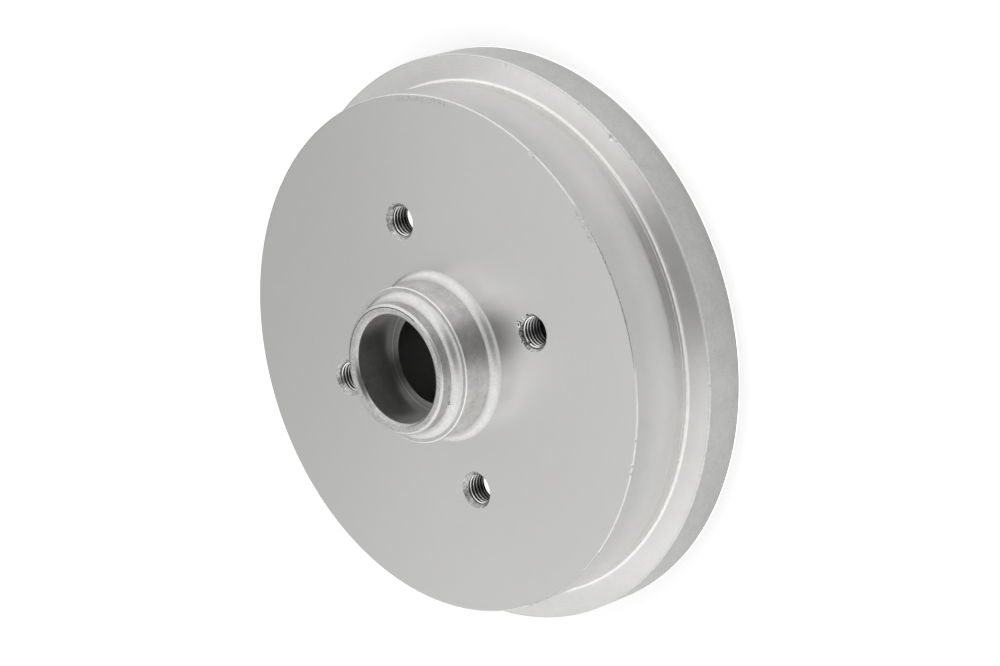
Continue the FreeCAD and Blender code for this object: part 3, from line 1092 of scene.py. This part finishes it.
def tent_light(right, up, back):
    """A pale tent all round the drum, with bright sides, a dark opening and a greyer patch."""
    world = bpy.data.worlds.new("light_tent")
    world.use_nodes = True
    nodes = Nodes(world.node_tree)
    direction = nodes.add("ShaderNodeTexCoord").outputs["Generated"]

    raised = math.radians(OPENING_RAISED)
    opening_back = back * math.cos(raised) - right * math.sin(raised)
    opening_right = right * math.cos(raised) + back * math.sin(raised)
    ahead = nodes.maths("MAXIMUM", nodes.along(direction, opening_back), LEAST_AHEAD)
    squares = []
    for axis, half_angle in ((up, OPENING_ALONG), (opening_right, OPENING_ACROSS)):
        slope = nodes.maths("DIVIDE", nodes.along(direction, axis), ahead)
        share = nodes.maths("DIVIDE", slope, math.tan(math.radians(half_angle)))
        squares.append(nodes.maths("MULTIPLY", share, share))
    off_centre = nodes.maths("SQRT", nodes.maths("ADD", *squares))
    opening = nodes.ranged(off_centre, *OPENING_BORDER, OPENING_LEVEL, 1.0)

    inner, outer = (math.cos(math.radians(angle)) for angle in (GREY_INNER, GREY_OUTER))
    near_grey = nodes.along(direction, pointing(GREY_AZIMUTH, GREY_ELEVATION))
    grey = nodes.ranged(near_grey, outer, inner, 1.0, GREY_LEVEL)

    sideways = nodes.maths("ABSOLUTE", nodes.along(direction, Vector((1, 0, 0))))
    sides = nodes.ranged(sideways, SIDE_START, SIDE_END, 1.0, SIDE_LEVEL)
    level = nodes.maths("MULTIPLY", nodes.maths("MULTIPLY", opening, grey), sides)
    straight, _ = nodes.ray_kinds()
    level = nodes.maths("MAXIMUM", level, straight)
    background = nodes.add("ShaderNodeBackground", {"Color": (1, 1, 1, 1), "Strength": level})
    nodes.add("ShaderNodeOutputWorld", {"Surface": background.outputs[0]})
    bpy.context.scene.world = world


# Half the floor's width in metres, and its tone
FLOOR_REACH = 12.0
FLOOR_TONE = (0.86, 0.86, 0.86)

# How much brighter than its light the floor is: to the camera, so that it fades into the white
# background, and where the metal mirrors it, near the rim and further out
FLOOR_LIFT = 0.36
MIRROR_LIFT = 0.33
MIRROR_LIFT_FAR = 0.05
MIRROR_NEAR = 118.0
MIRROR_FAR = 142.0

# In front of the drum, where the floor faces the tent's opening, the glow that the metal mirrors is weaker:
# a painted darker reflection in the drum's wall
FLOOR_SPOT = Vector((14, -125, 0))
FLOOR_SPOT_INNER = 25.0
FLOOR_SPOT_OUTER = 60.0
FLOOR_SPOT_LEVEL = 0.5


def pale_floor():
    """A wide white floor that fades into the white background and keeps the drum's soft shadow."""
    mesh = bpy.data.meshes.new("floor")
    reach = FLOOR_REACH
    corners = [(-reach, -reach, 0), (reach, -reach, 0), (reach, reach, 0), (-reach, reach, 0)]
    mesh.from_pydata(corners, [], [(0, 1, 2, 3)])
    floor = bpy.data.objects.new("floor", mesh)
    bpy.context.scene.collection.objects.link(floor)
    material = bpy.data.materials.new("floor_white")
    material.use_nodes = True
    nodes = Nodes(material.node_tree)
    straight, glossy = nodes.ray_kinds()
    place = nodes.add("ShaderNodeTexCoord").outputs["Object"]
    off_axle = nodes.add("ShaderNodeVectorMath", {0: place}, operation="LENGTH").outputs[1]
    outside_drum = nodes.maths("GREATER_THAN", off_axle, FLANGE_RADIUS * MM)
    under_drum = nodes.maths("SUBTRACT", 1.0, outside_drum)
    seen = nodes.maths("MULTIPLY", straight, nodes.maths("MAXIMUM", under_drum, FLOOR_LIFT))
    spot = nodes.add("ShaderNodeVectorMath", {0: place, 1: FLOOR_SPOT * MM}, operation="DISTANCE").outputs[1]
    mirror = nodes.ranged(off_axle, MIRROR_NEAR * MM, MIRROR_FAR * MM, MIRROR_LIFT, MIRROR_LIFT_FAR)
    # less painted glow for the metal to mirror at the spot in front of the drum
    mirror_dimming = nodes.ranged(spot, FLOOR_SPOT_INNER * MM, FLOOR_SPOT_OUTER * MM, FLOOR_SPOT_LEVEL, 1.0)
    mirror = nodes.maths("MULTIPLY", mirror, mirror_dimming)
    mirrored = nodes.maths("MULTIPLY", glossy, nodes.maths("MULTIPLY", outside_drum, mirror))
    shader = nodes.add("ShaderNodeBsdfPrincipled", {
        "Base Color": (*FLOOR_TONE, 1),
        "Roughness": 0.9,
        "Emission Color": (1, 1, 1, 1),
        "Emission Strength": nodes.maths("ADD", seen, mirrored),
    })
    shader.inputs["Specular IOR Level"].default_value = 0.0
    nodes.add("ShaderNodeOutputMaterial", {"Surface": shader.outputs[0]})
    mesh.materials.append(material)


camera_axes = photo_camera()
tent_light(*camera_axes)
pale_floor()
brake_drum()

bpy.context.scene.view_settings.view_transform = "Standard"
